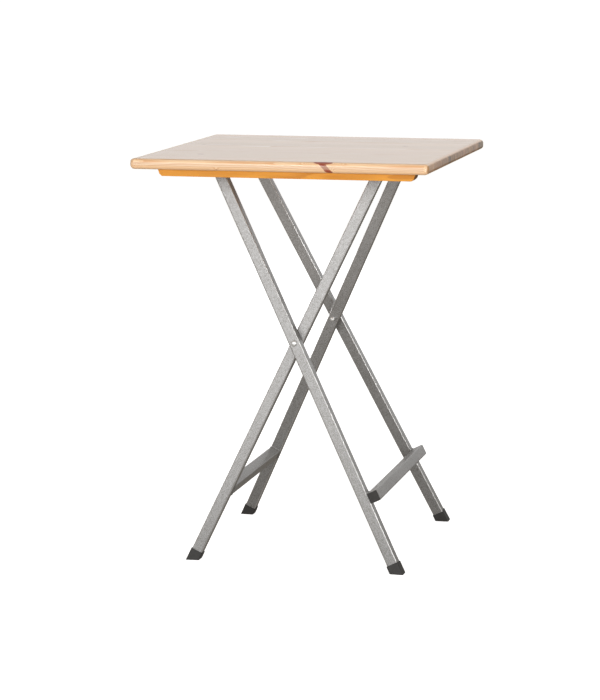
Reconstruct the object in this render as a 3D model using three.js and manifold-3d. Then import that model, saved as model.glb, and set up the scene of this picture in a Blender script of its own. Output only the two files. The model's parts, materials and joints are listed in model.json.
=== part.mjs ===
// Folding high table: an edge-glued pine top on two crossed frames of square steel tube.
//
// Millimetres, +Z up, +X to the right along the top's grain, +Y to the back.
// The origin is on the floor, in the middle under the top.
// The outer frame leans from the right foot to the left of the top and carries the hinge axle.
// The inner frame leans the other way and carries the rest bar that the top lies on.

import * as THREE from 'three';
import { mergeVertices } from 'three/addons/utils/BufferGeometryUtils.js';
import Module from 'manifold-3d';

const wasm = await Module();
wasm.setup();

// ---------------------------------------------------------------- driving dimensions

// Whole table
const TOP_WIDTH = 800;
const TOP_DEPTH = 800;
const TOP_THICKNESS = 28;
const TABLE_HEIGHT = 1100;
const TOP_EDGE_RADIUS = 11;
const TOP_CORNER_RADIUS = 14;

// Crossed frames
const TUBE_SIZE = 30;
const TUBE_CORNER_RADIUS = 3;
const TUBE_WALL = 2;
const OUTER_FOOT_X = 302;       // the outer frame's foot centres, right of the middle
const INNER_FOOT_X = -273;      // the inner frame's foot centres, left of the middle
const PIVOT_X = 6;
const PIVOT_HEIGHT = 600;
const SPLAY_ANGLE = 6.4;        // degrees that each leg opens outward in its frame, towards the foot
const OUTER_PIVOT_SPACING = 474; // between the outer frame's leg centres, at the pivot
const LEG_GAP = 3.8;            // between an outer and an inner leg, along the pivot
const CROSSBAR_FROM_FOOT = 212; // along the leg, from the floor to a crossbar's centre

// Bars across the frames' upper ends
const BAR_DIAMETER = 22;
const BAR_WALL = 2;
const HINGE_CLEARANCE = 9;      // from the top's underside to the hinge bar
const REST_GAP = 0.6;           // from the top's underside to the rest bar
const AXLE_DIAMETER = 12;
const AXLE_OVERHANG = 7;        // of the axle's end past its bracket
const BUSH_FLANGE = 2;
const AXLE_CAP_WALL = 1.6;
const AXLE_CAP_BRIM = 3.5;
const AXLE_CAP_BRIM_THICKNESS = 1.2;
const AXLE_CAP_CROWN = 2.2;

// Pivot bolts
const BOLT_DIAMETER = 8;
const BOLT_HEAD_OVERHANG = 4;   // of the head beyond the bolt, all round
const BOLT_HEAD_HEIGHT = 5;
const SLEEVE_WALL = 2.8;
const SLEEVE_PROUD = 1.1;
const NUT_WALL = 2.5;           // from the thread to a flat
const NUT_HEIGHT = 6.5;
const NUT_DOME_HEIGHT = 5;
const NUT_DOME_OVERLAP = 1;     // of the dome in the hexagon

// Feet and plugs
const FOOT_WALL = 1.6;
const FOOT_SOLE = 4;
const FOOT_HEIGHT = 28;         // along the leg, on its middle line
const PLUG_DEPTH = 10;
const PLUG_LIP = 1.6;

// Battens
const BATTEN_WIDTH = 45;
const BATTEN_HEIGHT = 18;
const BATTEN_INSET = 22;        // from the top's front or back edge
const BATTEN_LEFT_INSET = 72;   // from the top's left edge
const BATTEN_RIGHT_INSET = 38;
const BATTEN_END_BEVEL = 11;
const BATTEN_SCREW_INSET = 55;  // of the outer screws from the batten's ends
const BATTEN_SCREW_SINK = 1;    // of a screw's head in the batten

// Brackets and screws
const PLATE = 3;
const BRACKET_WIDTH = 44;
const BRACKET_FLANGE = 24;
const BRACKET_RIM = 5;          // material round the axle hole
const STOP_WIDTH = 50;
const STOP_FLANGE = 24;
const STOP_DEPTH = 22;
const STOP_SPACING = 170;
const SCREW_DIAMETER = 4;
const SCREW_HEAD_DIAMETER = 8;
const SCREW_HEAD_HEIGHT = 2.4;
const SCREW_FLAT_SHARE = 0.62;  // of the head's radius, on its flat top
const SCREW_SHOULDER_SHARE = 0.93; // of the head's radius, at its shoulder
const SCREW_SHOULDER_HEIGHT = 0.6; // of the head's height, at its shoulder
const SCREW_BITE = 15;          // length of a screw in the top

// Clearances
const FIT = 0.3;                // between pieces that touch
const RUNNING = 0.2;            // on the radius, between pieces that turn in each other
const BRACKET_SIDE_GAP = 2;
const THROUGH = 1;              // how far a cutting tool runs past the face that it cuts

// Fineness of the round faces
const ROUND = 20;
const SMALL_ROUND = 12;
const CORNER_STEPS = 2;

// ---------------------------------------------------------------- sizes that follow

const UNDERSIDE = TABLE_HEIGHT - TOP_THICKNESS;
const OUTER_LEAN = Math.atan((OUTER_FOOT_X - PIVOT_X) / PIVOT_HEIGHT);
const INNER_LEAN = Math.atan((PIVOT_X - INNER_FOOT_X) / PIVOT_HEIGHT);
const SPLAY = THREE.MathUtils.degToRad(SPLAY_ANGLE);
const BAR_RADIUS = BAR_DIAMETER / 2;
const HINGE_Z = UNDERSIDE - HINGE_CLEARANCE - BAR_RADIUS;
const REST_Z = UNDERSIDE - REST_GAP - BAR_RADIUS;

// Distances along a frame, from the pivot: down to the floor is negative
const OUTER_FLOOR_W = -PIVOT_HEIGHT / Math.cos(OUTER_LEAN);
const INNER_FLOOR_W = -PIVOT_HEIGHT / Math.cos(INNER_LEAN);
const HINGE_W = (HINGE_Z - PIVOT_HEIGHT) / Math.cos(OUTER_LEAN);
const REST_W = (REST_Z - PIVOT_HEIGHT) / Math.cos(INNER_LEAN);
const OUTER_CROSSBAR_W = OUTER_FLOOR_W + CROSSBAR_FROM_FOOT;
const INNER_CROSSBAR_W = INNER_FLOOR_W + CROSSBAR_FROM_FOOT;

const HALF_TUBE_ACROSS = TUBE_SIZE / 2 / Math.cos(SPLAY);
const OUTER_HALF = OUTER_PIVOT_SPACING / 2;
const INNER_HALF = OUTER_HALF - LEG_GAP - 2 * HALF_TUBE_ACROSS;

// A leg centre's distance from the middle of the table, at w along the frame
const legSpread = (halfAtPivot, w) => halfAtPivot - w * Math.tan(SPLAY);

const HINGE_BAR_HALF = legSpread(OUTER_HALF, HINGE_W) + HALF_TUBE_ACROSS;
const REST_BAR_HALF = legSpread(INNER_HALF, REST_W) + HALF_TUBE_ACROSS;
const BRACKET_FACE = HINGE_BAR_HALF + FIT + BUSH_FLANGE + BRACKET_SIDE_GAP;
const AXLE_HALF = BRACKET_FACE + PLATE + AXLE_OVERHANG;
const HINGE_X = PIVOT_X - HINGE_W * Math.sin(OUTER_LEAN);
const REST_X = PIVOT_X + REST_W * Math.sin(INNER_LEAN);
const STOP_X = REST_X + BAR_RADIUS + FIT;
const SLEEVE_RADIUS = BOLT_DIAMETER / 2 + RUNNING + SLEEVE_WALL;
const BOLT_HEAD_RADIUS = BOLT_DIAMETER / 2 + BOLT_HEAD_OVERHANG;
const NUT_FLAT_RADIUS = BOLT_DIAMETER / 2 + NUT_WALL;

// ---------------------------------------------------------------- materials

const pine = new THREE.MeshStandardMaterial({ color: 0xe6bf86, roughness: 0.42, metalness: 0 });
const battenPine = new THREE.MeshStandardMaterial({ color: 0xdca055, roughness: 0.5, metalness: 0 });
const silverPaint = new THREE.MeshStandardMaterial({ color: 0xb4b4b2, roughness: 0.45, metalness: 0.6 });
const blackPlastic = new THREE.MeshStandardMaterial({ color: 0x1d1c1b, roughness: 0.6, metalness: 0 });
const zinc = new THREE.MeshStandardMaterial({ color: 0xd2d3d2, roughness: 0.3, metalness: 1 });
const nylon = new THREE.MeshStandardMaterial({ color: 0xd9d6cc, roughness: 0.55, metalness: 0 });

// ---------------------------------------------------------------- solids and booleans

const group = new THREE.Group();

function addPiece(parent, name, geometry, material) {
  const mesh = new THREE.Mesh(geometry, material);
  mesh.name = name;
  parent.add(mesh);
  return mesh;
}

function toManifold(geometry) {
  const bare = geometry.clone();
  bare.deleteAttribute('normal');
  bare.deleteAttribute('uv');
  const merged = mergeVertices(bare, 1e-4);
  return new wasm.Manifold(new wasm.Mesh({
    numProp: 3,
    vertProperties: new Float32Array(merged.attributes.position.array),
    triVerts: new Uint32Array(merged.index.array),
  }));
}

function toGeometry(manifold) {
  const mesh = manifold.getMesh();
  const geometry = new THREE.BufferGeometry();
  geometry.setAttribute('position', new THREE.BufferAttribute(mesh.vertProperties, 3));
  geometry.setIndex(new THREE.BufferAttribute(mesh.triVerts, 1));
  return geometry;
}

function cut(geometry, ...tools) {
  let solid = toManifold(geometry);
  for (const tool of tools) solid = solid.subtract(toManifold(tool));
  return toGeometry(solid);
}

function join(geometry, ...others) {
  let solid = toManifold(geometry);
  for (const other of others) solid = solid.add(toManifold(other));
  return toGeometry(solid);
}

// ---------------------------------------------------------------- outlines and basic shapes

function roundedRectangle(width, height, radius) {
  const shape = new THREE.Shape();
  const x = width / 2 - radius;
  const y = height / 2 - radius;
  shape.absarc(x, y, radius, 0, Math.PI / 2);
  shape.absarc(-x, y, radius, Math.PI / 2, Math.PI);
  shape.absarc(-x, -y, radius, Math.PI, Math.PI * 1.5);
  shape.absarc(x, -y, radius, Math.PI * 1.5, Math.PI * 2);
  return shape;
}

// A prism of an outline, from z = from to z = to
function prism(shape, from, to, curveSegments = CORNER_STEPS) {
  const geometry = new THREE.ExtrudeGeometry(shape, {
    depth: to - from,
    bevelEnabled: false,
    curveSegments,
  });
  return geometry.translate(0, 0, from);
}

function box(x0, x1, y0, y1, z0, z1) {
  const geometry = new THREE.BoxGeometry(x1 - x0, y1 - y0, z1 - z0);
  return geometry.translate((x0 + x1) / 2, (y0 + y1) / 2, (z0 + z1) / 2);
}

// A solid of revolution round Z from [radius, z] points; the first and last lie on the axis
function turned(points, segments = ROUND) {
  return new THREE.LatheGeometry(points.map(([r, z]) => new THREE.Vector2(r, z)), segments)
    .rotateX(Math.PI / 2);
}

function rod(radius, from, to, segments = ROUND) {
  return turned([[0, from], [radius, from], [radius, to], [0, to]], segments);
}

// A ring of revolution round Z: the profile closes on itself
function ring(inner, outer, from, to, segments = ROUND) {
  return turned([[inner, from], [outer, from], [outer, to], [inner, to], [inner, from]], segments);
}

// Turns a shape made along Z to lie along Y, so that z becomes y
const alongY = (geometry) => geometry.rotateX(-Math.PI / 2);

// Turns a piece half a turn round Z, from the back of the table to the front
const halfTurnZ = (geometry) => geometry.rotateZ(Math.PI);

// ---------------------------------------------------------------- square tube

const tubeOutline = (size) => roundedRectangle(size, size, TUBE_CORNER_RADIUS);
const boreSize = TUBE_SIZE - 2 * TUBE_WALL;
const boreOutline = (size) => roundedRectangle(size, size, TUBE_CORNER_RADIUS - TUBE_WALL / 2);

function squareTube(from, to) {
  const shape = tubeOutline(TUBE_SIZE);
  shape.holes.push(boreOutline(boreSize));
  return prism(shape, from, to);
}

// ---------------------------------------------------------------- the two frames

const outerFrame = new THREE.Group();
outerFrame.position.set(PIVOT_X, 0, PIVOT_HEIGHT);
outerFrame.rotation.y = -OUTER_LEAN;
const innerFrame = new THREE.Group();
innerFrame.position.set(PIVOT_X, 0, PIVOT_HEIGHT);
innerFrame.rotation.y = INNER_LEAN;
group.add(outerFrame, innerFrame);

// A leg's own frame: its middle line is local Z, through the pivot axis at local z = 0
function legGroup(frame, halfAtPivot, side) {
  const leg = new THREE.Group();
  leg.position.set(0, side * halfAtPivot, 0);
  leg.rotation.x = side * SPLAY;
  frame.add(leg);
  leg.updateWorldMatrix(true, false);
  return leg;
}

// A slab below the level z = height of the room, in a leg's own frame
function belowLevel(leg, height) {
  const reach = TABLE_HEIGHT;
  const slab = box(-reach, reach, -reach, reach, height - reach, height);
  return slab.applyMatrix4(leg.matrixWorld.clone().invert());
}

// Puts a shape that is made in a frame's axes into a leg's own frame
function inLeg(leg, geometry) {
  return geometry.applyMatrix4(leg.matrix.clone().invert());
}

const alongLeg = (w) => w / Math.cos(SPLAY);

function makeLeg(frame, frameName, sideName, halfAtPivot, side, floorW, barW) {
  const leg = legGroup(frame, halfAtPivot, side);
  const footEnd = alongLeg(floorW);
  const barReach = TOP_DEPTH / 2;
  const barSeat = alongY(rod(BAR_RADIUS + FIT, -barReach, barReach)).translate(0, 0, barW);
  const sleeveHole = alongY(rod(SLEEVE_RADIUS + FIT, -TUBE_SIZE, TUBE_SIZE));
  sleeveHole.translate(0, side * halfAtPivot, 0);
  const tube = cut(
    squareTube(footEnd - TUBE_SIZE, alongLeg(barW)),
    belowLevel(leg, FOOT_SOLE + FIT),
    inLeg(leg, barSeat),
    inLeg(leg, sleeveHole),
  );
  addPiece(leg, `${frameName}_leg_${sideName}`, tube, silverPaint);

  const pocket = TUBE_SIZE + 2 * FIT;
  const shoe = prism(tubeOutline(pocket + 2 * FOOT_WALL), footEnd - TUBE_SIZE, footEnd + FOOT_HEIGHT);
  const pocketAboveSole = cut(
    prism(tubeOutline(pocket), footEnd - TUBE_SIZE, footEnd + 2 * FOOT_HEIGHT),
    belowLevel(leg, FOOT_SOLE),
  );
  const foot = cut(shoe, belowLevel(leg, 0), pocketAboveSole);
  addPiece(leg, `${frameName}_foot_${sideName}`, foot, blackPlastic);
  return leg;
}

// A leg's outside as a plain prism a little larger than the tube, in the frame's axes
function legEnvelope(halfAtPivot, side) {
  const reach = TABLE_HEIGHT;
  const envelope = prism(tubeOutline(TUBE_SIZE + 2 * FIT), -reach, reach);
  return envelope.rotateX(side * SPLAY).translate(0, side * halfAtPivot, 0);
}

const sides = [['front', -1], ['back', 1]];
for (const [sideName, side] of sides) {
  makeLeg(outerFrame, 'outer', sideName, OUTER_HALF, side, OUTER_FLOOR_W, HINGE_W);
  makeLeg(innerFrame, 'inner', sideName, INNER_HALF, side, INNER_FLOOR_W, REST_W);
}

// The outer crossbar lies on the legs' upper faces, its ends level with their outsides
const outerBarHalf = legSpread(OUTER_HALF, OUTER_CROSSBAR_W) + HALF_TUBE_ACROSS;
const outerBarU = TUBE_SIZE + FIT;
const outerBar = alongY(squareTube(-outerBarHalf, outerBarHalf))
  .translate(outerBarU, 0, OUTER_CROSSBAR_W);
addPiece(outerFrame, 'outer_crossbar', outerBar, silverPaint);

// The inner crossbar stands between the legs, its ends cut to their splay
const innerBarReach = legSpread(INNER_HALF, INNER_CROSSBAR_W);
const innerBar = cut(
  alongY(squareTube(-innerBarReach, innerBarReach)).translate(0, 0, INNER_CROSSBAR_W),
  legEnvelope(INNER_HALF, -1),
  legEnvelope(INNER_HALF, 1),
);
addPiece(innerFrame, 'inner_crossbar', innerBar, silverPaint);

// Push-in plugs that close the outer crossbar's open ends
function squarePlug() {
  const stem = prism(boreOutline(boreSize - 2 * FIT), -PLUG_DEPTH, 0);
  const lip = prism(tubeOutline(TUBE_SIZE - PLUG_LIP), FIT, PLUG_LIP);
  const neck = prism(boreOutline(boreSize - 2 * FIT), -FIT, 2 * FIT);
  return join(stem, neck, lip);
}

for (const [sideName, side] of sides) {
  const plug = alongY(squarePlug());
  if (side < 0) halfTurnZ(plug);
  plug.translate(outerBarU, side * outerBarHalf, OUTER_CROSSBAR_W);
  addPiece(outerFrame, `outer_crossbar_plug_${sideName}`, plug, blackPlastic);
}

// ---------------------------------------------------------------- bars at the frames' upper ends

const barBore = BAR_RADIUS - BAR_WALL;
const hingeBar = alongY(ring(barBore, BAR_RADIUS, -HINGE_BAR_HALF, HINGE_BAR_HALF));
addPiece(outerFrame, 'hinge_bar', hingeBar.translate(0, 0, HINGE_W), silverPaint);

const restBar = alongY(ring(barBore, BAR_RADIUS, -REST_BAR_HALF, REST_BAR_HALF));
addPiece(innerFrame, 'rest_bar', restBar.translate(0, 0, REST_W), silverPaint);

for (const [sideName, side] of sides) {
  // A flanged bush in the hinge bar's end, in which the axle turns
  const bushBore = AXLE_DIAMETER / 2 + RUNNING;
  const bush = alongY(turned([
    [bushBore, -PLUG_DEPTH],
    [barBore - FIT, -PLUG_DEPTH],
    [barBore - FIT, FIT],
    [BAR_RADIUS, FIT],
    [BAR_RADIUS, FIT + BUSH_FLANGE],
    [bushBore, FIT + BUSH_FLANGE],
    [bushBore, -PLUG_DEPTH],
  ]));
  if (side < 0) halfTurnZ(bush);
  bush.translate(0, side * HINGE_BAR_HALF, HINGE_W);
  addPiece(outerFrame, `hinge_bush_${sideName}`, bush, nylon);

  // A round plug in the rest bar's end
  const cap = alongY(turned([
    [0, -PLUG_DEPTH],
    [barBore - FIT, -PLUG_DEPTH],
    [barBore - FIT, FIT],
    [BAR_RADIUS - PLUG_LIP / 2, FIT],
    [BAR_RADIUS - PLUG_LIP, PLUG_LIP + FIT],
    [0, PLUG_LIP + FIT],
  ]));
  if (side < 0) halfTurnZ(cap);
  cap.translate(0, side * REST_BAR_HALF, REST_W);
  addPiece(innerFrame, `rest_bar_plug_${sideName}`, cap, blackPlastic);
}

// ---------------------------------------------------------------- pivots

const boltRadius = BOLT_DIAMETER / 2;
const sleeveBore = boltRadius + RUNNING;
const outerFaceFar = OUTER_HALF + HALF_TUBE_ACROSS;
const outerFaceNear = OUTER_HALF - HALF_TUBE_ACROSS;
const innerFaceFar = INNER_HALF + HALF_TUBE_ACROSS;
const innerFaceNear = INNER_HALF - HALF_TUBE_ACROSS;
const headSeat = outerFaceFar + SLEEVE_PROUD + FIT;
const nutSeat = innerFaceNear - SLEEVE_PROUD - FIT;
const washerInner = innerFaceFar + SLEEVE_PROUD + FIT;
const washerOuter = outerFaceNear - SLEEVE_PROUD - FIT;

function domeProfile(radius, height, base, steps = 5) {
  const points = [];
  for (let i = 0; i <= steps; i += 1) {
    const angle = (Math.PI / 2) * (i / steps);
    points.push([radius * Math.cos(angle), base + height * Math.sin(angle)]);
  }
  points[steps][0] = 0;
  return points;
}

for (const [sideName, side] of sides) {
  const place = (geometry) => (side < 0 ? halfTurnZ(alongY(geometry)) : alongY(geometry));

  const outerSleeve = ring(sleeveBore, SLEEVE_RADIUS,
    outerFaceNear - SLEEVE_PROUD, outerFaceFar + SLEEVE_PROUD);
  addPiece(outerFrame, `outer_pivot_sleeve_${sideName}`, place(outerSleeve), silverPaint);

  const innerSleeve = ring(sleeveBore, SLEEVE_RADIUS,
    innerFaceNear - SLEEVE_PROUD, innerFaceFar + SLEEVE_PROUD);
  addPiece(innerFrame, `inner_pivot_sleeve_${sideName}`, place(innerSleeve), silverPaint);

  const washer = ring(sleeveBore, BOLT_HEAD_RADIUS, washerInner, washerOuter);
  addPiece(outerFrame, `pivot_washer_${sideName}`, place(washer), zinc);

  const bolt = turned([
    [0, nutSeat - NUT_HEIGHT],
    [boltRadius, nutSeat - NUT_HEIGHT],
    [boltRadius, headSeat],
    ...domeProfile(BOLT_HEAD_RADIUS, BOLT_HEAD_HEIGHT, headSeat),
  ]);
  addPiece(outerFrame, `pivot_bolt_${sideName}`, place(bolt), zinc);

  // A domed nut: a hexagon with a rounded cap that closes over the bolt's end
  const nutRadius = NUT_FLAT_RADIUS / Math.cos(Math.PI / 6);
  const hexagon = rod(nutRadius, nutSeat - NUT_HEIGHT, nutSeat, 6);
  const dome = turned([
    ...domeProfile(NUT_FLAT_RADIUS, NUT_DOME_HEIGHT, NUT_HEIGHT),
  ].map(([r, z]) => [r, nutSeat - z]).reverse().concat([[0, nutSeat - NUT_HEIGHT + NUT_DOME_OVERLAP]]));
  const threadHole = rod(boltRadius + FIT, nutSeat - NUT_HEIGHT - FIT, nutSeat + THROUGH);
  const nut = cut(join(hexagon, dome), threadHole);
  addPiece(outerFrame, `pivot_nut_${sideName}`, place(nut), zinc);
}

// ---------------------------------------------------------------- hinge axle

const table = new THREE.Group();
group.add(table);

const axle = alongY(rod(AXLE_DIAMETER / 2, -AXLE_HALF, AXLE_HALF));
addPiece(table, 'hinge_axle', axle.translate(HINGE_X, 0, HINGE_Z), zinc);

for (const [sideName, side] of sides) {
  // A pressed cap that keeps the axle from sliding out of the bracket
  const capInner = AXLE_DIAMETER / 2 + FIT;
  const capDepth = AXLE_HALF - BRACKET_FACE - PLATE - FIT;
  const cap = alongY(turned([
    [capInner, -capDepth],
    [capInner + AXLE_CAP_BRIM, -capDepth],
    [capInner + AXLE_CAP_BRIM, -capDepth + AXLE_CAP_BRIM_THICKNESS],
    [capInner + AXLE_CAP_WALL, -capDepth + AXLE_CAP_BRIM_THICKNESS],
    [capInner + AXLE_CAP_WALL, 0],
    [capInner, AXLE_CAP_WALL],
    [0, AXLE_CAP_CROWN],
    [0, FIT],
    [capInner, FIT],
    [capInner, -capDepth],
  ]));
  if (side < 0) halfTurnZ(cap);
  cap.translate(HINGE_X, side * AXLE_HALF, HINGE_Z);
  addPiece(table, `axle_cap_${sideName}`, cap, zinc);
}

// ---------------------------------------------------------------- screws

// A pan-head wood screw that points up: its head's seat is at z = 0, its point at z = length
function screw(length) {
  const radius = SCREW_DIAMETER / 2;
  const head = SCREW_HEAD_DIAMETER / 2;
  return turned([
    [0, -SCREW_HEAD_HEIGHT],
    [head * SCREW_FLAT_SHARE, -SCREW_HEAD_HEIGHT],
    [head * SCREW_SHOULDER_SHARE, -SCREW_HEAD_HEIGHT * SCREW_SHOULDER_HEIGHT],
    [head, 0],
    [radius, 0],
    [radius, length - SCREW_DIAMETER],
    [0, length],
  ], SMALL_ROUND);
}

const clearanceHole = (x, y, from, to) => (
  rod(SCREW_DIAMETER / 2 + FIT, from, to, SMALL_ROUND).translate(x, y, 0)
);

const screwHoles = [];

// Drives a screw up into the top from a seat at height seatZ, and notes its hole
function driveScrew(name, x, y, seatZ) {
  const length = UNDERSIDE + SCREW_BITE - seatZ;
  addPiece(table, name, screw(length).translate(x, y, seatZ - FIT), zinc);
  screwHoles.push(clearanceHole(x, y, UNDERSIDE - THROUGH, UNDERSIDE + SCREW_BITE + THROUGH));
}

// ---------------------------------------------------------------- hinge brackets

const plateTop = UNDERSIDE - FIT;
for (const [sideName, side] of sides) {
  // The upright cheek: a plate with a round lower end about the axle hole
  const cheekShape = new THREE.Shape();
  cheekShape.moveTo(BRACKET_WIDTH / 2, plateTop - HINGE_Z);
  cheekShape.lineTo(-BRACKET_WIDTH / 2, plateTop - HINGE_Z);
  cheekShape.absarc(0, 0, AXLE_DIAMETER / 2 + BRACKET_RIM, Math.PI, 2 * Math.PI);
  const axleHole = new THREE.Path();
  axleHole.absarc(0, 0, AXLE_DIAMETER / 2 + RUNNING, 0, 2 * Math.PI);
  cheekShape.holes.push(axleHole);
  const y0 = side < 0 ? -BRACKET_FACE : BRACKET_FACE + PLATE;
  const cheek = prism(cheekShape, 0, PLATE, SMALL_ROUND).rotateX(Math.PI / 2)
    .translate(HINGE_X, y0, HINGE_Z);

  const flangeStart = BRACKET_FACE;
  const flangeEnd = BRACKET_FACE + BRACKET_FLANGE;
  const [ya, yb] = side < 0 ? [-flangeEnd, -flangeStart] : [flangeStart, flangeEnd];
  const flange = box(HINGE_X - BRACKET_WIDTH / 2, HINGE_X + BRACKET_WIDTH / 2, ya, yb,
    plateTop - PLATE, plateTop);
  const screwY = side * (BRACKET_FACE + PLATE + (BRACKET_FLANGE - PLATE) / 2);
  const holes = [];
  for (const [index, offset] of [-1, 1].entries()) {
    const x = HINGE_X + offset * (BRACKET_WIDTH / 2 - SCREW_HEAD_DIAMETER);
    holes.push(clearanceHole(x, screwY, plateTop - 2 * PLATE, plateTop + THROUGH));
    driveScrew(`hinge_screw_${sideName}_${index + 1}`, x, screwY, plateTop - PLATE);
  }
  addPiece(table, `hinge_bracket_${sideName}`, cut(join(cheek, flange), ...holes), zinc);
}

// ---------------------------------------------------------------- stop angles behind the rest bar

for (const [sideName, side] of sides) {
  const yMid = side * STOP_SPACING / 2;
  const ya = yMid - STOP_WIDTH / 2;
  const yb = yMid + STOP_WIDTH / 2;
  const upright = box(STOP_X, STOP_X + PLATE, ya, yb, plateTop - STOP_DEPTH, plateTop);
  const flange = box(STOP_X, STOP_X + STOP_FLANGE, ya, yb, plateTop - PLATE, plateTop);
  const screwX = STOP_X + PLATE + (STOP_FLANGE - PLATE) / 2;
  const holes = [];
  for (const [index, offset] of [-1, 1].entries()) {
    const y = yMid + offset * (STOP_WIDTH / 2 - SCREW_HEAD_DIAMETER);
    holes.push(clearanceHole(screwX, y, plateTop - 2 * PLATE, plateTop + THROUGH));
    driveScrew(`stop_screw_${sideName}_${index + 1}`, screwX, y, plateTop - PLATE);
  }
  addPiece(table, `stop_angle_${sideName}`, cut(join(upright, flange), ...holes), zinc);
}

// ---------------------------------------------------------------- battens

const battenTop = UNDERSIDE - FIT;
const battenBottom = battenTop - BATTEN_HEIGHT;
const screwSink = SCREW_HEAD_HEIGHT + BATTEN_SCREW_SINK;
const battenLeft = BATTEN_LEFT_INSET - TOP_WIDTH / 2;
const battenRight = TOP_WIDTH / 2 - BATTEN_RIGHT_INSET;
const battenMiddle = (battenLeft + battenRight) / 2;
for (const [sideName, side] of sides) {
  const yMid = side * (TOP_DEPTH / 2 - BATTEN_INSET - BATTEN_WIDTH / 2);
  const half = (battenRight - battenLeft) / 2;
  const bevel = BATTEN_END_BEVEL;
  const shape = new THREE.Shape();
  shape.moveTo(half, BATTEN_HEIGHT);
  shape.lineTo(-half, BATTEN_HEIGHT);
  shape.quadraticCurveTo(-half + bevel / 4, bevel / 4, -half + bevel, 0);
  shape.lineTo(half - bevel, 0);
  shape.quadraticCurveTo(half - bevel / 4, bevel / 4, half, BATTEN_HEIGHT);
  const body = prism(shape, -BATTEN_WIDTH / 2, BATTEN_WIDTH / 2).rotateX(Math.PI / 2)
    .translate(battenMiddle, yMid, battenBottom);
  const holes = [];
  for (const [index, offset] of [-1, 0, 1].entries()) {
    const x = battenMiddle + offset * (half - BATTEN_SCREW_INSET);
    const seatZ = battenBottom + screwSink;
    holes.push(rod(SCREW_HEAD_DIAMETER / 2 + FIT, battenBottom - THROUGH, seatZ, SMALL_ROUND)
      .translate(x, yMid, 0));
    holes.push(clearanceHole(x, yMid, battenBottom - THROUGH, battenTop + THROUGH));
    driveScrew(`batten_screw_${sideName}_${index + 1}`, x, yMid, seatZ);
  }
  addPiece(table, `batten_${sideName}`, cut(body, ...holes), battenPine);
}

// ---------------------------------------------------------------- top

const topShape = roundedRectangle(
  TOP_WIDTH - 2 * TOP_EDGE_RADIUS,
  TOP_DEPTH - 2 * TOP_EDGE_RADIUS,
  TOP_CORNER_RADIUS - TOP_EDGE_RADIUS,
);
const topSlab = new THREE.ExtrudeGeometry(topShape, {
  depth: TOP_THICKNESS - 2 * TOP_EDGE_RADIUS,
  bevelEnabled: true,
  bevelThickness: TOP_EDGE_RADIUS,
  bevelSize: TOP_EDGE_RADIUS,
  bevelSegments: 4,
  curveSegments: CORNER_STEPS,
}).translate(0, 0, UNDERSIDE + TOP_EDGE_RADIUS);
addPiece(table, 'tabletop', cut(topSlab, ...screwHoles), pine);

export default group;
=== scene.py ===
import json
import math

import bmesh
import bpy
from mathutils import Matrix, Vector

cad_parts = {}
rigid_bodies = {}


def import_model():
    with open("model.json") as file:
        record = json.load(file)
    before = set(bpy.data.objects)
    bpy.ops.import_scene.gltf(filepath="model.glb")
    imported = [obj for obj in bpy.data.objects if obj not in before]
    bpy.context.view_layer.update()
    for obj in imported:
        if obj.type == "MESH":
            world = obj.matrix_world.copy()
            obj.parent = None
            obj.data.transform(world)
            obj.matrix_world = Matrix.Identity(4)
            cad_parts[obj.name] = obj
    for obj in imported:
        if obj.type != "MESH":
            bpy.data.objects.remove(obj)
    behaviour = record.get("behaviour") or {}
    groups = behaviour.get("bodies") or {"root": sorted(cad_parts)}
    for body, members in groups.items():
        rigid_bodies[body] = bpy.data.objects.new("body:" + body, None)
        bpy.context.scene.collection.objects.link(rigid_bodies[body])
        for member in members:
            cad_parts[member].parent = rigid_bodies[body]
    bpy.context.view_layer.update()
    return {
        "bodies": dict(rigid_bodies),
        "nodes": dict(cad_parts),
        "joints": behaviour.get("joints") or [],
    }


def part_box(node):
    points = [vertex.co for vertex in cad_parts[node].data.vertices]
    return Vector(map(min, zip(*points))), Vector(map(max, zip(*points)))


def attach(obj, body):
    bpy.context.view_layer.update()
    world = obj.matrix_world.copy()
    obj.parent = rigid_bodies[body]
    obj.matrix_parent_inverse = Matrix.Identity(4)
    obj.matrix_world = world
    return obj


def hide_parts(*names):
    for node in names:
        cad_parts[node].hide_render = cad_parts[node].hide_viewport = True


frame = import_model()

# ---------------------------------------------------------------- studio
# A round sweep of pale paper, with white panels and soft boxes hung about the table.
# None of it is part of the table.

camera_data = bpy.data.cameras.new("camera")
camera_data.sensor_fit = "AUTO"
camera_data.sensor_width = 36
camera_data.lens = 130.89
camera_data.shift_x = -0.1143
camera_data.clip_end = 200
camera = bpy.data.objects.new("camera", camera_data)
camera.location = (1.68766, -6.74966, 1.71321)
camera.rotation_euler = (math.pi / 2 - 0.16702, 0, 0.21908)
bpy.context.scene.collection.objects.link(camera)
bpy.context.scene.camera = camera
bpy.context.scene.view_settings.view_transform = "Standard"


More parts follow.
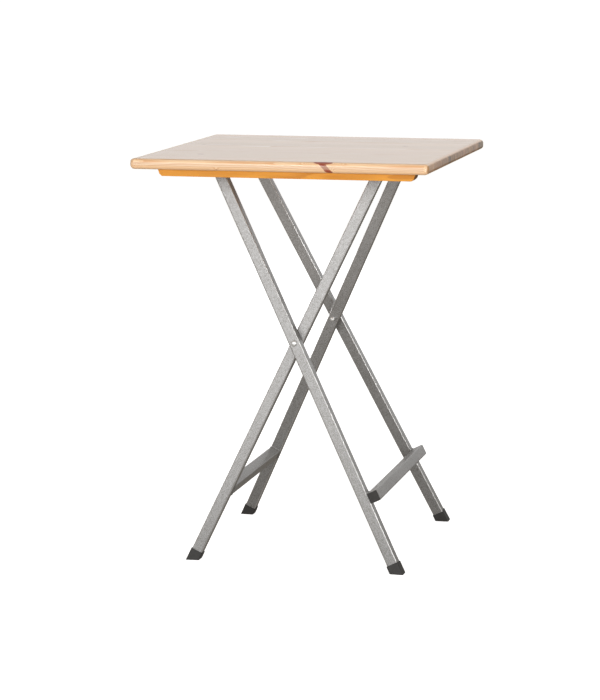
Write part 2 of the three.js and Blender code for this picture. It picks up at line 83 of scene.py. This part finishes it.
class Socket:
    """An output in a shader tree. Sums on it add Math nodes, and node() adds any other node."""

    def __init__(self, tree, link=None):
        self.tree = tree
        self.link = link

    def node(self, kind, settings=None, inputs=None, output=0):
        made = self.tree.nodes.new("ShaderNode" + kind)
        settings = dict(settings or {})
        stops = settings.pop("stops", None)
        for name, value in settings.items():
            setattr(made, name, value)
        if stops:
            ramp = made.color_ramp
            ramp.elements.remove(ramp.elements[1])
            ramp.elements[0].position, ramp.elements[0].color = stops[0]
            for place, colour in stops[1:]:
                ramp.elements.new(place).color = colour
        for name, value in (inputs or {}).items():
            if isinstance(value, Socket):
                self.tree.links.new(value.link, made.inputs[name])
            else:
                made.inputs[name].default_value = value
        return Socket(self.tree, made.outputs[output] if made.outputs else None)

    def math(self, operation, *others):
        return self.node("Math", {"operation": operation}, dict(enumerate((self, *others))))

    def __add__(self, other):
        return self.math("ADD", other)

    def __radd__(self, other):
        return self.math("ADD", other)

    def __mul__(self, other):
        return self.math("MULTIPLY", other)

    def __rmul__(self, other):
        return self.math("MULTIPLY", other)

    def __sub__(self, other):
        return self.math("SUBTRACT", other)

    def __rsub__(self, other):
        return self.node("Math", {"operation": "SUBTRACT"}, {0: other, 1: self})

    def __truediv__(self, other):
        return self.math("DIVIDE", other)

    def __pow__(self, other):
        return self.math("POWER", other)


def rgba(red, green, blue):
    """An opaque colour, in linear light."""
    return (red, green, blue, 1)


def new_surface(name):
    """A material with an empty tree, and the Object coordinates in it."""
    material = bpy.data.materials.new(name)
    material.use_nodes = True
    material.node_tree.nodes.clear()
    return material, Socket(material.node_tree).node("TexCoord", output="Object")


def finish_surface(place, height, depth, **inputs):
    """Ends a tree in a Principled shader whose surface is raised by height, depth metres at most."""
    named = {name.replace("_", " "): value for name, value in inputs.items()}
    named["Normal"] = place.node("Bump", {}, {"Strength": 1, "Distance": depth, "Height": height})
    shader = place.node("BsdfPrincipled", {}, named)
    place.node("OutputMaterial", {}, {"Surface": shader})


def mixed(factor, first, second, how="MIX"):
    """A colour between two, or one laid over the other."""
    settings = {"data_type": "RGBA", "blend_type": how}
    socket = next(value for value in (factor, first, second) if isinstance(value, Socket))
    return socket.node("Mix", settings, {0: factor, 6: first, 7: second}, 2)


def noise(place, scale, detail=2, roughness=0.5):
    """Soft random blotches, scale of them to a metre."""
    inputs = {"Vector": place, "Scale": scale, "Detail": detail, "Roughness": roughness}
    return place.node("TexNoise", {}, inputs)


def studio_piece(name, bm, material):
    """A piece of the studio, which isn't part of the table."""
    mesh = bpy.data.meshes.new(name)
    bm.to_mesh(mesh)
    bm.free()
    mesh.shade_smooth()
    mesh.materials.append(material)
    thing = bpy.data.objects.new(name, mesh)
    bpy.context.scene.collection.objects.link(thing)
    return thing


paper, place = new_surface("studio_paper")
grain = noise(place, 3, 3)
tone = mixed(grain, rgba(0.84, 0.84, 0.84), rgba(0.88, 0.88, 0.88))
finish_surface(
    place, grain, 0.0005, Base_Color=tone, Roughness=0.95,
    Emission_Color=rgba(1, 1, 1), Emission_Strength=0.84,
)
sweep_radius = 14
sweep_cove = 4
sweep_height = 12
cove_steps = 12
cove_start = sweep_radius - sweep_cove
bm = bmesh.new()
outline = [bm.verts.new((0, 0, 0)), bm.verts.new((cove_start, 0, 0))]
for step in range(1, cove_steps + 1):
    turn = math.pi / 2 * step / cove_steps
    out = cove_start + sweep_cove * math.sin(turn)
    up = sweep_cove - sweep_cove * math.cos(turn)
    outline.append(bm.verts.new((out, 0, up)))
outline.append(bm.verts.new((sweep_radius, 0, sweep_height)))
for first, second in zip(outline, outline[1:]):
    bm.edges.new((first, second))
bmesh.ops.spin(
    bm, geom=bm.verts[:] + bm.edges[:], cent=(0, 0, 0), axis=(0, 0, 1),
    angle=math.tau, steps=96, use_merge=True,
)
bmesh.ops.remove_doubles(bm, verts=bm.verts, dist=1e-5)
sweep = studio_piece("sweep", bm, paper)

# The sweep is bright behind the table but throws no light on it: the soft boxes do that
sweep.visible_diffuse = False
sweep.visible_glossy = False
sweep.visible_shadow = False

world = bpy.data.worlds.new("studio_air")
world.use_nodes = True
air = world.node_tree.nodes["Background"]
air.inputs["Color"].default_value = rgba(1.0, 0.91, 0.80)
air.inputs["Strength"].default_value = 0.24
bpy.context.scene.world = world


def soft_box(name, place, target, size, watts, colour=(1, 1, 1)):
    """A rectangular soft light, size wide and high, at place, that faces target."""
    light = bpy.data.lights.new(name, "AREA")
    light.color = colour
    light.shape = "RECTANGLE"
    light.size, light.size_y = size
    light.energy = watts
    lamp = bpy.data.objects.new(name, light)
    lamp.location = place
    lamp.rotation_mode = "QUATERNION"
    lamp.rotation_quaternion = (Vector(target) - Vector(place)).to_track_quat("-Z", "Y")
    lamp.visible_camera = False
    bpy.context.scene.collection.objects.link(lamp)


cool = (0.97, 0.985, 1.0)
sky = (0.93, 0.96, 1.0)
warm = (1.0, 0.92, 0.84)
soft_box(
    "front_panel", (-0.8, -5.0, 1.6), target=(0, 0, 1.0), size=(5, 3.2), watts=142, colour=cool,
)
soft_box("key_box", (-1.0, -4.4, 1.9), target=(0, 0, 0.7), size=(0.35, 0.6), watts=16)
soft_box("right_box", (3.5, -1.4, 2.3), target=(0, 0, 0.8), size=(1.0, 1.6), watts=34)
soft_box("top_box", (0.2, 0.4, 4.5), target=(0.2, 0.4, 0), size=(3, 3), watts=20)
soft_box("right_panel", (3.0, -3.0, 0.6), target=(0, 0, 0.6), size=(2.2, 0.9), watts=34)
soft_box("rear_box", (-3.0, 3.4, 0.6), target=(0, 0, 0.6), size=(2.2, 0.9), watts=34)
soft_box(
    "floor_panel", (-0.6, -2.6, 0.02), target=(-0.6, -2.6, 1), size=(3, 2), watts=15, colour=warm,
)
soft_box("back_panel", (0, 6, 2.0), target=(0, 0, 1.0), size=(8, 3.6), watts=68, colour=sky)

# ---------------------------------------------------------------- pine top
# A board of pine staves glued edge to edge, their grain along X, planed flat on both sides.
# Its corners and edges are rounded over with a router, and it has a clear satin lacquer.

sharp_degrees = 32


def place_piece(name, bm, material, body, slot, *nodes):
    """Makes a finished piece of a bmesh. It rides on a body and stands for CAD nodes."""
    bmesh.ops.recalc_face_normals(bm, faces=bm.faces)
    mesh = bpy.data.meshes.new(name)
    bm.to_mesh(mesh)
    bm.free()
    mesh.shade_smooth()
    mesh.set_sharp_from_angle(angle=math.radians(sharp_degrees))
    mesh.materials.append(material)
    thing = bpy.data.objects.new(name, mesh)
    bpy.context.scene.collection.objects.link(thing)
    evener = thing.modifiers.new("even_shading", "WEIGHTED_NORMAL")
    evener.keep_sharp = True
    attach(thing, body)
    if nodes:
        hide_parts(*nodes)
    return thing


def rounded(bm, edges, radius, steps):
    """Rounds edges over."""
    bmesh.ops.bevel(
        bm, geom=edges, offset=radius, offset_type="OFFSET", affect="EDGES",
        segments=steps, profile=0.5, material=-1, clamp_overlap=True,
    )


def rise(edge):
    """How far an edge climbs."""
    return abs(edge.verts[0].co.z - edge.verts[1].co.z)


board_low, board_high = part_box("tabletop")
board_size = board_high - board_low
bm = bmesh.new()
bmesh.ops.create_cube(bm, size=1)
bmesh.ops.scale(bm, vec=board_size, verts=bm.verts)
bmesh.ops.translate(bm, vec=(board_low + board_high) / 2, verts=bm.verts)
corner_radius = 0.014
edge_radius = 0.011
router_steps = 10
half_thickness = board_size.z / 2
upright = [edge for edge in bm.edges if rise(edge) > half_thickness]
rounded(bm, upright, corner_radius, router_steps)
level = [edge for edge in bm.edges if rise(edge) < half_thickness]
rounded(bm, level, edge_radius, router_steps)


def parts_of(vector):
    """The three numbers of a vector."""
    split = vector.node("SeparateXYZ", {}, {0: vector}).link.node
    return [Socket(vector.tree, output) for output in split.outputs]


def surface_normal(place):
    """Which way the surface faces, from the node that gives the Object coordinates."""
    return Socket(place.tree, place.link.node.outputs["Normal"])


def stretched(place, x, y, z):
    """Object coordinates scaled on each axis, so that a pattern made on them is drawn out."""
    return place.node("Mapping", {}, {"Vector": place, "Scale": (x, y, z)})


def smooth_step(value, low, high):
    """0 below low, 1 above high and a smooth rise between; high may be the lesser."""
    settings = {"interpolation_type": "SMOOTHSTEP"}
    inputs = {"Value": value, "From Min": low, "From Max": high, "To Min": 0, "To Max": 1}
    return value.node("MapRange", settings, inputs)


def pine(name, staves, pale, dark, honey, knots, end_light, coat, roughness):
    """Pine. Each stave is sawn from its own tree, whose rings run round a pith along X.

    staves is the staves' width and the y of a joint. A knot is the branch's middle (x, y, z),
    its run (dx, dz), its radius, and how round its end is (0 runs right through). end_light is
    how light a sawn end is and coat how much lacquer there is on the sides, each from 0 to 1.
    """
    material, place = new_surface(name)
    width, joint = staves
    x, y, z = parts_of(place)

    # Two numbers from 0 to 1 for each stave, and coordinates moved to its own piece of the noise
    across = (y - joint) / width
    stave = across.math("FLOOR")
    within = across - stave
    chance, chance_two = (
        stave.node("TexWhiteNoise", {"noise_dimensions": "1D"}, {"W": stave + seed})
        for seed in (0.5, 31.7)
    )
    moved = stave.node("CombineXYZ", {}, {0: chance * 7, 1: chance_two * 5, 2: stave})
    lot = place.node("VectorMath", {"operation": "ADD"}, {0: place, 1: moved})

    # The distance from the stave's pith, bent by the way the tree grew
    bend = noise(stretched(lot, 1.3, 9, 9), 1, 3)
    ripple = noise(stretched(lot, 5, 40, 40), 1, 2)
    pith_y = (within - chance * 1.6 + 0.3) * width
    pith_z = z - board_low.z + 0.012 + chance_two * 0.05
    from_pith = (pith_y * pith_y + pith_z * pith_z) ** 0.5
    radius = from_pith + bend * 0.030 + ripple * 0.003

    # Knots push the rings aside and show their own, darker rings
    knot = None
    for (kx, ky, kz), (run_x, run_z), size, end in knots:
        off_y = y - ky
        off_z = z - kz
        off_x = x - kx - off_z * (run_x / run_z)
        spread = off_x * off_x * 0.45 + off_y * off_y * 1.6 + off_z * off_z * end
        reach = spread ** 0.5 + ripple * 0.004 - 0.002
        near = smooth_step(reach, size * 3.2, size * 0.7)
        radius = radius + near * near * size * 0.9
        heart = smooth_step(reach, size * 1.12, size * 0.86)
        knot_ring = size / 3.1
        turn = reach.math("PINGPONG", knot_ring) / knot_ring
        ringed = heart * (0.86 + turn * 0.14)
        knot = ringed if knot is None else knot.math("MAXIMUM", ringed)

    ring_width = 0.0036 - chance * 0.0010
    ring = (radius / ring_width).math("FRACT")
    latewood = smooth_step(ring, 0.15, 0.93) * smooth_step(ring, 1.0, 0.94)
    fibre = noise(stretched(lot, 18, 1500, 1500), 1, 3, 0.6)
    streak = noise(stretched(lot, 2.2, 190, 190), 1, 3, 0.65)
    pore = noise(stretched(lot, 70, 2600, 2600), 1, 2)

    # Sawn ends drink more lacquer, and read darker and greyer than the sides
    toward_x = parts_of(surface_normal(place))[0].math("ABSOLUTE")
    sawn_end = smooth_step(toward_x, 0.55, 0.92)

    ring_depth = latewood * (0.35 + streak * 0.45) + sawn_end * latewood * 0.25
    colour = mixed(ring_depth, pale, dark)
    colour = mixed(smooth_step(streak, 0.38, 0.75) * 0.32, colour, honey)
    shade = (0.90 + chance_two * 0.15) - smooth_step(fibre, 0.5, 0.8) * 0.07
    tint = shade.node("CombineColor", {}, {
        0: shade, 1: shade * (0.985 + chance * 0.02), 2: shade * 0.98,
    })
    colour = mixed(1, colour, tint, "MULTIPLY")
    patch = noise(stretched(lot, 2, 34, 14), 1, 3, 0.6)
    end_tone = end_light * (0.55 + chance * 0.50) + patch * 0.95 - pore * 0.16 - 0.42
    end_tint = shade.node("CombineColor", {}, {
        0: end_tone, 1: end_tone * (0.82 + chance_two * 0.12), 2: end_tone * (0.46 + chance * 0.26),
    })
    colour = mixed(sawn_end, colour, mixed(1, colour, end_tint, "MULTIPLY"))
    if knot:
        colour = mixed(knot, colour, rgba(0.30, 0.034, 0.010))
    if width < board_size.y:
        seam = smooth_step((within - 0.5).math("ABSOLUTE"), 0.4962, 0.4988)
        colour = mixed(seam * 0.35, colour, rgba(0.42, 0.25, 0.11))

    worn = noise(place, 11, 4, 0.6)
    dull = worn * 0.12 + fibre * 0.06 + sawn_end * 0.14 + streak * latewood * 0.16
    height = fibre * 0.5 + latewood * 0.35 + streak * 0.15
    finish_surface(
        place, height, 0.00006, Base_Color=colour, Roughness=roughness + dull,
        IOR=1.5, Coat_Weight=(1 - sawn_end * 0.6) * coat, Coat_Roughness=0.14, Coat_IOR=1.48,
    )
    return material


# A branch cut along its length shows as the dark spike on the front edge, with its end above it
front = board_low.y
stave_count = 9
board_knots = [
    ((0.129, front + 0.002, 1.086), (0.020, -0.022), 0.0066, 0),
    ((0.123, front + 0.004, 1.1005), (0, 0.010), 0.0180, 9),
    ((-0.1627, front, 1.0722), (0, 0.010), 0.0048, 1.2),
    ((-0.255, -0.235, 1.086), (0.002, 0.02), 0.0065, 0),
    ((0.231, 0.118, 1.086), (-0.003, 0.02), 0.0050, 0),
    ((-0.330, 0.060, 1.086), (-0.002, 0.02), 0.0045, 0),
]
top_pine = pine(
    "pine_board", staves=(board_size.y / stave_count, front),
    pale=rgba(0.99, 0.70, 0.45), dark=rgba(0.70, 0.29, 0.10), honey=rgba(0.95, 0.56, 0.27),
    knots=board_knots, end_light=0.47, coat=0.75, roughness=0.27,
)
place_piece("board", bm, top_pine, "top", "pine_top", "tabletop")

# ---------------------------------------------------------------- battens
# Two pine battens screwed across under the top, front and back, from below.
# Their lower ends are rounded off. They are oiled, which makes their wood deeper in colour.


def copied(node):
    """A bmesh of a CAD node's solid, its loose triangles joined up into whole faces."""
    bm = bmesh.new()
    bm.from_mesh(frame["nodes"][node].data)
    bmesh.ops.remove_doubles(bm, verts=bm.verts, dist=1e-6)
    bmesh.ops.dissolve_limit(
        bm, angle_limit=math.radians(1), use_dissolve_boundaries=False,
        verts=bm.verts, edges=bm.edges, delimit={"NORMAL"},
    )
    return bm


def crisp_edges(bm, angle=40):
    """The edges where two faces meet at a real corner."""
    least = math.radians(angle)
    return [
        edge for edge in bm.edges
        if len(edge.link_faces) == 2 and edge.calc_face_angle(0) > least
    ]


batten_pine = pine(
    "pine_batten", staves=(2, -1),
    pale=rgba(0.78, 0.325, 0.012), dark=rgba(0.50, 0.165, 0.004), honey=rgba(0.68, 0.235, 0.006),
    knots=[], end_light=0.30, coat=0.1, roughness=0.5,
)
batten_arris = 0.0009
for side in ("front", "back"):
    bm = copied(f"batten_{side}")
    rounded(bm, crisp_edges(bm), batten_arris, 2)
    place_piece(f"oiled_batten_{side}", bm, batten_pine, "top", "pine_batten", f"batten_{side}")

# ---------------------------------------------------------------- crossed legs and crossbars
# Square steel tube, sawn to length, notched for the bars at the top and welded.
# Each frame is powder coated in one go, in a silver with fine aluminium flake.


def silver_paint(name, corner_highlight):
    """Silver powder coat, with a painted highlight along the tube corners; the argument sets how
    strong that painted highlight is.
    """
    material, place = new_surface(name)
    toward_y = parts_of(surface_normal(place))[1].math("ABSOLUTE")
    # Painted highlight: the corners between the front or back faces and the sides are painted pale,
    # more metallic and glossier, to stand in for the lights' glint along them
    corner = smooth_step(toward_y, 0.20, 0.50) * smooth_step(toward_y, 0.97, 0.86) * corner_highlight
    flakes = place.node("TexVoronoi", {"feature": "F1"}, {"Vector": place, "Scale": 1500}, 1)
    flake = flakes.node("SeparateColor", {}, {0: flakes})
    peel = noise(place, 700, 2)
    cloud = noise(place, 9, 4, 0.6)
    mottle = noise(place, 420, 3, 0.8)
    drawn = noise(stretched(place, 26, 26, 26), 1, 2)
    speck = flake * 0.38 + mottle * 0.56 + cloud * 0.06
    colour = speck.node("ValToRGB", {"stops": [
        (0.30, rgba(0.125, 0.116, 0.106)),
        (0.48, rgba(0.245, 0.238, 0.230)),
        (0.66, rgba(0.42, 0.42, 0.42)),
    ]}, {0: speck})
    scuff = smooth_step(noise(stretched(place, 60, 60, 9), 6, 4, 0.7), 0.64, 0.74)
    colour = mixed(scuff * 0.22, colour, rgba(0.28, 0.27, 0.26))
    # The painted highlight: the corners are mixed toward pale silver
    colour = mixed(corner, colour, rgba(0.88, 0.88, 0.88))
    dull = drawn * 0.08 + mottle * 0.10 + scuff * 0.15
    finish_surface(
        place, peel * 0.7 + flake * 0.3, 0.00005, Base_Color=colour,
        Metallic=0.6 + corner * 0.38, Roughness=0.32 + dull - corner * 0.10,
        Coat_Weight=0.35, Coat_Roughness=0.16,
    )
    return material


# The tubes carry the painted corner highlight at 0.8 of full strength; the welds below carry none
silver = silver_paint("silver_powder_coat", corner_highlight=0.8)
for member in ("leg_front", "leg_back", "crossbar"):
    for half in ("outer", "inner"):
        node = f"{half}_{member}"
        place_piece(f"tube_{node}", copied(node), silver, f"{half}_frame", "silver_paint", node)

# ---------------------------------------------------------------- bars at the frames' upper ends
# Round steel tube, sawn to length. The hinge bar lies in the outer legs' notches and turns with them.
# The rest bar lies in the inner legs' notches, and the open top rests on it.


def spun(points, centre, direction, steps=48):
    """A turned piece from (radius, height) points; direction is where its height points."""
    bm = bmesh.new()
    verts = [bm.verts.new((radius, 0, height)) for radius, height in points]
    for first, second in zip(verts, verts[1:]):
        bm.edges.new((first, second))
    bmesh.ops.spin(
        bm, geom=bm.verts[:] + bm.edges[:], cent=(0, 0, 0), axis=(0, 0, 1),
        angle=math.tau, steps=steps, use_merge=True,
    )
    bmesh.ops.remove_doubles(bm, verts=bm.verts, dist=1e-6)
    turn = Vector(direction).to_track_quat("Z", "Y").to_matrix().to_4x4()
    bmesh.ops.transform(bm, matrix=Matrix.Translation(centre) @ turn, verts=bm.verts)
    return bm


def middle(node):
    """The middle of a CAD node's box."""
    low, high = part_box(node)
    return (low + high) / 2


bar_radius = 0.011
bar_bore = 0.009
bar_rim = 0.0003
for node, body in (("hinge_bar", "outer_frame"), ("rest_bar", "inner_frame")):
    low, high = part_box(node)
    half = (high.y - low.y) / 2
    profile = [
        (bar_bore, -half + bar_rim), (bar_bore + bar_rim, -half),
        (bar_radius - bar_rim, -half), (bar_radius, -half + bar_rim),
        (bar_radius, half - bar_rim), (bar_radius - bar_rim, half),
        (bar_bore + bar_rim, half), (bar_bore, half - bar_rim),
        (bar_bore, -half + bar_rim),
    ]
    bm = spun(profile, middle(node), (0, 1, 0))
    place_piece(f"round_{node}", bm, silver, body, "silver_paint", node)

# ---------------------------------------------------------------- weld beads
# The bars and crossbars are welded to the legs with short beads, laid in overlapping ripples.
# The frames are painted after welding, so the paint runs over the beads.

weld_silver = silver_paint("silver_on_welds", corner_highlight=0)
pivot = Vector(next(joint["pos_m"] for joint in frame["joints"] if joint["name"] == "leg_fold"))
splay = math.radians(6.4)
tube_size = 0.030
bead_lift = 0.0004


def ring_between(bm, radius, centre, direction, steps):
    """A circle of edges round a point, square to a direction."""
    turn = Vector(direction).to_track_quat("Z", "Y").to_matrix().to_4x4()
    made = bmesh.ops.create_circle(
        bm, cap_ends=False, segments=steps, radius=radius, matrix=Matrix.Translation(centre) @ turn,
    )
    return list({edge for vert in made["verts"] for edge in vert.link_edges})


def bead(bm, path, radius):
    """Sweeps a bead along a path of points, a little thicker at each ripple, to a tip at its ends."""
    ripple = 0.0022
    swell_share = 0.14
    tip_share = 0.35
    bead_sides = 8
    loops = []
    gone = 0
    for index, point in enumerate(path):
        before = path[max(index - 1, 0)]
        after = path[min(index + 1, len(path) - 1)]
        gone += (point - before).length
        swell = 1 - swell_share + swell_share * abs(math.sin(math.pi * gone / ripple))
        end = tip_share if index in (0, len(path) - 1) else 1
        loops.append(ring_between(bm, radius * swell * end, point, after - before, bead_sides))
    for first, second in zip(loops, loops[1:]):
        bmesh.ops.bridge_loops(bm, edges=first + second)
    bmesh.ops.holes_fill(bm, edges=[edge for edge in bm.edges if edge.is_boundary])


def along(first, second):
    """Points from first to second, close enough to show each ripple."""
    spacing = 0.0008
    count = max(3, round((second - first).length / spacing))
    return [first.lerp(second, index / count) for index in range(count + 1)]


def frame_turn(upper):
    """The matrix of a frame whose middle line runs from the pivot to a bar at its upper end."""
    lean = math.atan2(upper.x - pivot.x, upper.z - pivot.z)
    return Matrix.Translation(pivot) @ Matrix.Rotation(lean, 4, "Y")


def crossbar_edge_beads(bm, leg_y, cross_w, side):
    """The outer crossbar lies on the leg: a bead above it and one below it."""
    reach = 0.0135
    bead_radius = 0.0021
    off_leg = 0.0006
    for edge_w in (-1, 1):
        w = cross_w + edge_w * (tube_size / 2 + bead_lift)
        lean_y = side * edge_w * (tube_size / 2) * math.tan(splay)
        u = tube_size / 2 + off_leg
        ends = [Vector((u, leg_y - lean_y + end * reach, w)) for end in (-1, 1)]
        bead(bm, along(*ends), bead_radius)


def crossbar_end_beads(bm, leg_y, cross_w, side):
    """The inner crossbar butts against the leg: a bead along each side of its end."""
    reach = tube_size / 2 + bead_lift
    length_share = 0.9
    bead_radius = 0.0019
    off_leg = 0.0003
    inner_face = leg_y - side * tube_size / 2 / math.cos(splay)
    corners = [(-1, -1), (1, -1), (1, 1), (-1, 1), (-1, -1)]
    for first, second in zip(corners, corners[1:]):
        ends = []
        for u, w in (first, second):
            y = inner_face - side * w * reach * math.tan(splay) - side * off_leg
            ends.append(Vector((u * reach, y, cross_w + w * reach)))
        centre = (ends[0] + ends[1]) / 2
        ends = [centre + (end - centre) * length_share for end in ends]
        bead(bm, along(*ends), bead_radius)


def notch_beads(bm, pivot_y, bar_w, side):
    """The round bar lies in the leg's notch: a bead under it on each face of the leg."""
    steps = 40
    bead_radius = 0.0015
    off_leg = 0.0002
    round_bar = bar_radius + bead_lift
    for face in (-1, 1):
        path = []
        for step in range(steps + 1):
            turn = math.pi * (0.06 + 0.88 * step / steps)
            w = bar_w - round_bar * math.sin(turn)
            off_face = face * (tube_size / 2 / math.cos(splay) + off_leg)
            y = side * (pivot_y - w * math.tan(splay)) + off_face
            path.append(Vector((round_bar * math.cos(turn), y, w)))
        bead(bm, path, bead_radius)


crossbar_beads = {"outer": crossbar_edge_beads, "inner": crossbar_end_beads}
for half, upper_bar in (("outer", "hinge_bar"), ("inner", "rest_bar")):
    bar = middle(upper_bar)
    to_room = frame_turn(bar)
    to_frame = to_room.inverted()
    pivot_y = abs(middle(f"{half}_pivot_sleeve_front").y)
    cross_w = (to_frame @ middle(f"{half}_crossbar")).z
    bm = bmesh.new()
    for side in (-1, 1):
        leg_y = side * (pivot_y - cross_w * math.tan(splay))
        crossbar_beads[half](bm, leg_y, cross_w, side)
        notch_beads(bm, pivot_y, (to_frame @ bar).z, side)
    bmesh.ops.transform(bm, matrix=to_room, verts=bm.verts)
    place_piece(f"weld_beads_{half}", bm, weld_silver, f"{half}_frame", "silver_paint")

# ---------------------------------------------------------------- feet and plugs
# Moulded black plastic. A foot is pulled over the leg's sawn end and its sole lies flat.
# The plugs close the ends of the crossbar and the rest bar.


def black_plastic(name):
    material, place = new_surface(name)
    grain = noise(place, 2600, 2)
    cloud = noise(place, 45, 3)
    scratch = smooth_step(noise(stretched(place, 40, 40, 900), 3, 3, 0.7), 0.66, 0.72)
    dust = smooth_step(noise(place, 320, 4, 0.7), 0.55, 0.78)
    colour = mixed(cloud, rgba(0.020, 0.019, 0.018), rgba(0.036, 0.034, 0.032))
    colour = mixed(dust * 0.10 + scratch * 0.12, colour, rgba(0.30, 0.29, 0.27))
    finish_surface(
        place, grain * 0.8 + cloud * 0.2, 0.00007, Base_Color=colour,
        Roughness=0.46 + grain * 0.16 + dust * 0.10, IOR=1.5,
    )
    return material


plastic = black_plastic("moulded_black_plastic")
shoe_arris = 0.0004
plug_arris = 0.00035
for half in ("outer", "inner"):
    for side in ("front", "back"):
        node = f"{half}_foot_{side}"
        bm = copied(node)
        rounded(bm, crisp_edges(bm, 50), shoe_arris, 2)
        place_piece(f"shoe_{half}_{side}", bm, plastic, f"{half}_frame", "black_plastic", node)
for side in ("front", "back"):
    for node, body in (("outer_crossbar_plug", "outer_frame"), ("rest_bar_plug", "inner_frame")):
        bm = copied(f"{node}_{side}")
        rounded(bm, crisp_edges(bm, 50), plug_arris, 2)
        place_piece(f"pushed_{node}_{side}", bm, plastic, body, "black_plastic", f"{node}_{side}")

# ---------------------------------------------------------------- pivot bolts
# A round-headed bolt through welded sleeves in both tubes, a washer between them
# and a domed nut inside. All of it is bright zinc plated.


def zinc_plate(name):
    material, place = new_surface(name)
    spangle = place.node("TexVoronoi", {"feature": "F1"}, {"Vector": place, "Scale": 420}, 1)
    tone = spangle.node("SeparateColor", {}, {0: spangle})
    rub = noise(stretched(place, 900, 90, 900), 1, 3)
    cloud = noise(place, 60, 3)
    colour = mixed(tone * 0.5 + cloud * 0.5, rgba(0.78, 0.79, 0.80), rgba(0.95, 0.95, 0.94))
    finish_surface(
        place, rub * 0.6 + cloud * 0.4, 0.00004, Base_Color=colour,
        Metallic=0.75, Roughness=0.32 + rub * 0.12 + tone * 0.08,
    )
    return material


zinc = zinc_plate("bright_zinc")
bolt_radius = 0.004
head_radius = 0.008
head_height = 0.005
head_lip = 0.0006
bolt_chamfer = 0.0004
dome_steps = 10
metal_arris = 0.0003
thin_arris = 0.0002
for side, sign in (("front", -1), ("back", 1)):
    low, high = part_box(f"pivot_bolt_{side}")
    tip = low.y if sign < 0 else high.y
    root = high.y if sign < 0 else low.y
    length = abs(tip - root)
    seat = length - head_height
    profile = [
        (0, 0), (bolt_radius - bolt_chamfer, 0), (bolt_radius, bolt_chamfer), (bolt_radius, seat),
        (head_radius - metal_arris, seat), (head_radius, seat + metal_arris),
    ]
    for step in range(1, dome_steps):
        turn = math.pi / 2 * step / dome_steps
        height = seat + head_lip + (head_height - head_lip) * math.sin(turn)
        profile.append((head_radius * math.cos(turn), height))
    profile.append((0, length))
    bm = spun(profile, (pivot.x, root, pivot.z), (0, sign, 0))
    place_piece(f"round_head_bolt_{side}", bm, zinc, "outer_frame", "zinc", f"pivot_bolt_{side}")
    bm = copied(f"pivot_nut_{side}")
    rounded(bm, crisp_edges(bm, 50), metal_arris, 2)
    place_piece(f"domed_nut_{side}", bm, zinc, "outer_frame", "zinc", f"pivot_nut_{side}")
    bm = copied(f"pivot_washer_{side}")
    rounded(bm, crisp_edges(bm, 60), thin_arris, 2)
    place_piece(f"plain_washer_{side}", bm, zinc, "outer_frame", "zinc", f"pivot_washer_{side}")
    for half in ("outer", "inner"):
        bm = copied(f"{half}_pivot_sleeve_{side}")
        rounded(bm, crisp_edges(bm, 60), thin_arris, 2)
        place_piece(
            f"welded_sleeve_{half}_{side}", bm, silver, f"{half}_frame", "silver_paint",
            f"{half}_pivot_sleeve_{side}",
        )

# ---------------------------------------------------------------- hinge and stops under the top
# A steel axle turns in nylon bushes in the hinge bar and hangs from two folded zinc brackets.
# Two folded angles behind the rest bar keep the open frames from spreading.


def nylon(name):
    material, place = new_surface(name)
    grain = noise(place, 1500, 2)
    cloud = noise(place, 120, 3)
    colour = mixed(cloud, rgba(0.70, 0.68, 0.61), rgba(0.80, 0.78, 0.72))
    finish_surface(
        place, grain * 0.6 + cloud * 0.4, 0.00004, Base_Color=colour,
        Roughness=0.42 + grain * 0.14, Subsurface_Weight=0.1, Subsurface_Radius=(0.001, 0.001, 0.001),
    )
    return material


bush_nylon = nylon("natural_nylon")
bodies = {
    node: body for body, empty in frame["bodies"].items() for node in frame["nodes"]
    if frame["nodes"][node].parent == empty
}
hardware = [("hinge_axle", zinc, "zinc")]
for side in ("front", "back"):
    hardware += [
        (f"hinge_bush_{side}", bush_nylon, "nylon"), (f"axle_cap_{side}", zinc, "zinc"),
        (f"hinge_bracket_{side}", zinc, "zinc"), (f"stop_angle_{side}", zinc, "zinc"),
    ]
for node, material, slot in hardware:
    bm = copied(node)
    rounded(bm, crisp_edges(bm, 50), metal_arris, 2)
    place_piece(f"fitted_{node}", bm, material, bodies[node], slot, node)

# ---------------------------------------------------------------- wood screws
# Zinc plated pan-head screws with a cross slot, driven up into the top from below.
# They hold the battens, the hinge brackets and the stop angles.

screw_head_height = 0.0024


def wood_screw(centre, seat, point):
    """A screw that points up, from its head's seat height to its point's height."""
    head = 0.004
    shank = 0.002
    core = 0.00165
    point_length = 0.004
    turns = 9
    cross_depth = 0.0011
    cross_middle = 0.0006
    cross_reach = 0.0016
    cross_half_angle = 12
    inner_ring = 0.0007
    flat_radius = 0.0024
    rim = 0.0003
    length = point - seat
    pitch = (length - shank - point_length) / turns
    top = -screw_head_height
    profile = [
        (0, top), (inner_ring, top), (cross_reach, top), (flat_radius, top),
        (head * 0.93, top * 0.6), (head, -rim), (head - rim, 0), (shank, 0),
    ]
    for turn in range(turns):
        start = shank + pitch * turn
        profile += [(core, start), (shank, start + pitch / 2)]
    profile += [(core, length - point_length), (0, length)]
    bm = spun(profile, (0, 0, 0), (0, 0, 1), 24)
    cross = []
    for face in bm.faces:
        spot = face.calc_center_median()
        out = math.hypot(spot.x, spot.y)
        around = math.degrees(math.atan2(spot.y, spot.x)) % 90
        in_arm = out < cross_reach and min(around, 90 - around) < cross_half_angle
        if spot.z < top + 1e-5 and (out < cross_middle or in_arm):
            cross.append(face)
    bmesh.ops.inset_region(
        bm, faces=cross, thickness=0.00005, depth=-cross_depth, use_even_offset=True,
    )
    bmesh.ops.translate(bm, vec=(centre.x, centre.y, seat), verts=bm.verts)
    return bm


for node in sorted(frame["nodes"]):
    if "_screw_" in node:
        low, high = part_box(node)
        bm = wood_screw((low + high) / 2, low.z + screw_head_height, high.z)
        place_piece(f"cross_slot_{node}", bm, zinc, bodies[node], "zinc", node)
